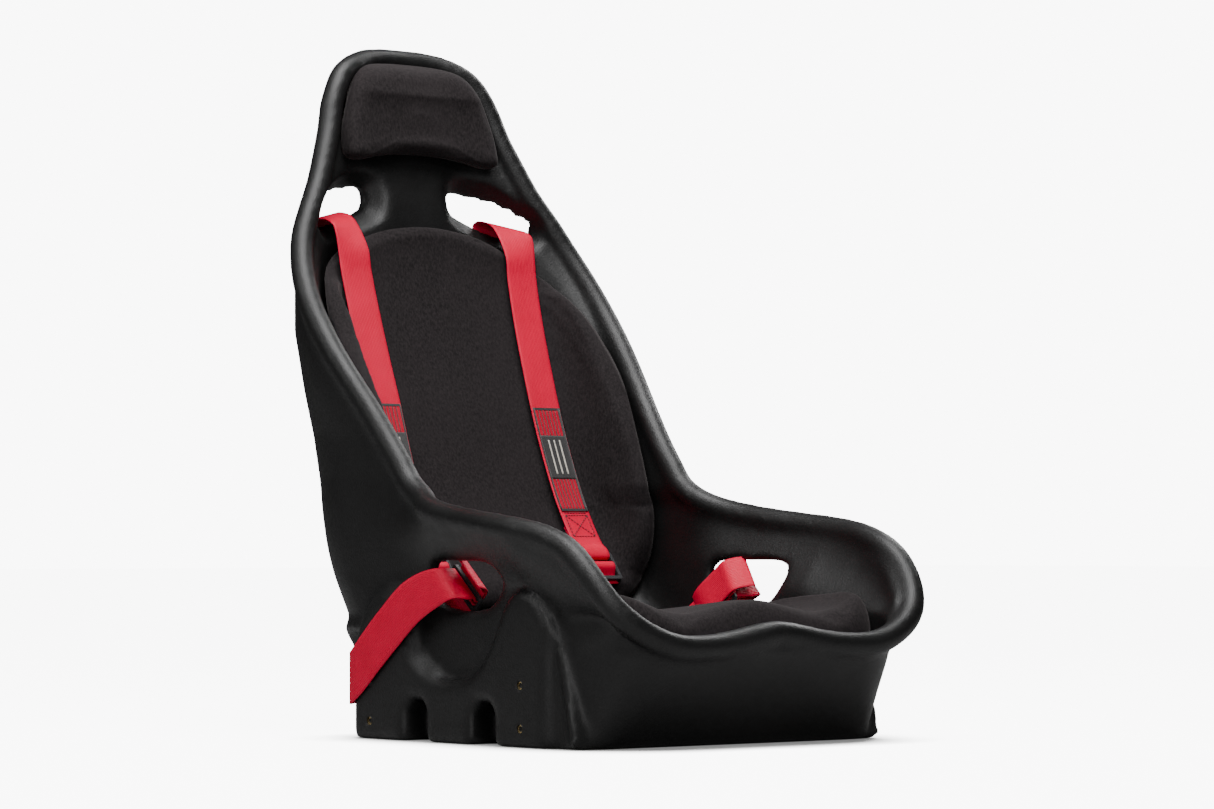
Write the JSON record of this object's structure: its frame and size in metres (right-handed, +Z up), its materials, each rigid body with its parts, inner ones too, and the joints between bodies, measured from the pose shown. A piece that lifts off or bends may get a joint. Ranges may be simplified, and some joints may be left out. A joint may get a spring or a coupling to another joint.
{
  "type": "racing seat",
  "caption": "Fixed-back bucket racing seat: hollow moulded shell, removable pads and a webbing comfort harness with tilting slide adjusters.",
  "frame": {"origin": "on the floor, under the middle of the seat's overall box", "axes": "+Z up, the occupant faces -Y, +X is the occupant's left; X = 0 is the symmetry plane"},
  "size_m": [0.554, 0.764, 0.88],
  "materials": {
    "shell_plastic": "fine moulded grain, satin matt",
    "plug_plastic": "smooth matt",
    "insert_brass": "machined",
    "plated_steel": "zinc plated",
    "bolt_steel": "black oxide",
    "pad_fabric": "short-nap micro-suede",
    "foam": "open-cell foam",
    "hook_and_loop": "hook-and-loop tape",
    "patch_stitching": "thread stitched on webbing",
    "adjuster_plastic": "moulded nylon, satin",
    "webbing": "woven polyester, satin"
  },
  "bodies": {
    "frame": {"seat_shell": "shell_plastic", "vent_plug": "plug_plastic", "anchor_inserts": "insert_brass", "anchor_plates": "plated_steel", "anchor_washers": "plated_steel", "anchor_bolts": "bolt_steel", "side_inserts_left": "insert_brass", "side_inserts_right": "insert_brass", "headrest_cover": "pad_fabric", "headrest_foam": "foam", "headrest_fastener_strips": "hook_and_loop", "back_pad_cover": "pad_fabric", "back_pad_foam": "foam", "back_pad_fastener_strips": "hook_and_loop", "seat_cushion_cover": "pad_fabric", "seat_cushion_foam": "foam", "seat_cushion_fastener_strips": "hook_and_loop", "shoulder_webbing_left": "webbing", "shoulder_lower_webbing_left": "webbing", "shoulder_patch_left": "patch_stitching", "lap_webbing_outer_left": "webbing", "lap_webbing_inner_left": "webbing", "shoulder_webbing_right": "webbing", "shoulder_lower_webbing_right": "webbing", "shoulder_patch_right": "patch_stitching", "lap_webbing_outer_right": "webbing", "lap_webbing_inner_right": "webbing"},
    "shoulder_adjuster_left": {"shoulder_adjuster_left": "adjuster_plastic"},
    "lap_adjuster_left": {"lap_adjuster_left": "adjuster_plastic"},
    "shoulder_adjuster_right": {"shoulder_adjuster_right": "adjuster_plastic"},
    "lap_adjuster_right": {"lap_adjuster_right": "adjuster_plastic"}
  },
  "joints": [
    {"name": "shoulder_tilt_left", "type": "hinge", "parent": "frame", "child": "shoulder_adjuster_left", "pos_m": [0.134, 0.13094, 0.2228], "axis": [-1, 0, 0], "range_deg": [0, 35], "deforming": ["shoulder_lower_webbing_left"]},
    {"name": "lap_tilt_left", "type": "hinge", "parent": "frame", "child": "lap_adjuster_left", "pos_m": [0.2075, -0.049, 0.18864], "axis": [0.1851, 0.6293, 0.7548], "range_deg": [0, 20], "deforming": ["lap_webbing_inner_left"]},
    {"name": "shoulder_tilt_right", "type": "hinge", "parent": "frame", "child": "shoulder_adjuster_right", "pos_m": [-0.134, 0.13094, 0.2228], "axis": [-1, 0, 0], "range_deg": [0, 35], "deforming": ["shoulder_lower_webbing_right"]},
    {"name": "lap_tilt_right", "type": "hinge", "parent": "frame", "child": "lap_adjuster_right", "pos_m": [-0.2075, -0.049, 0.18864], "axis": [0.1851, -0.6293, -0.7548], "range_deg": [0, 20], "deforming": ["lap_webbing_inner_right"]}
  ]
}
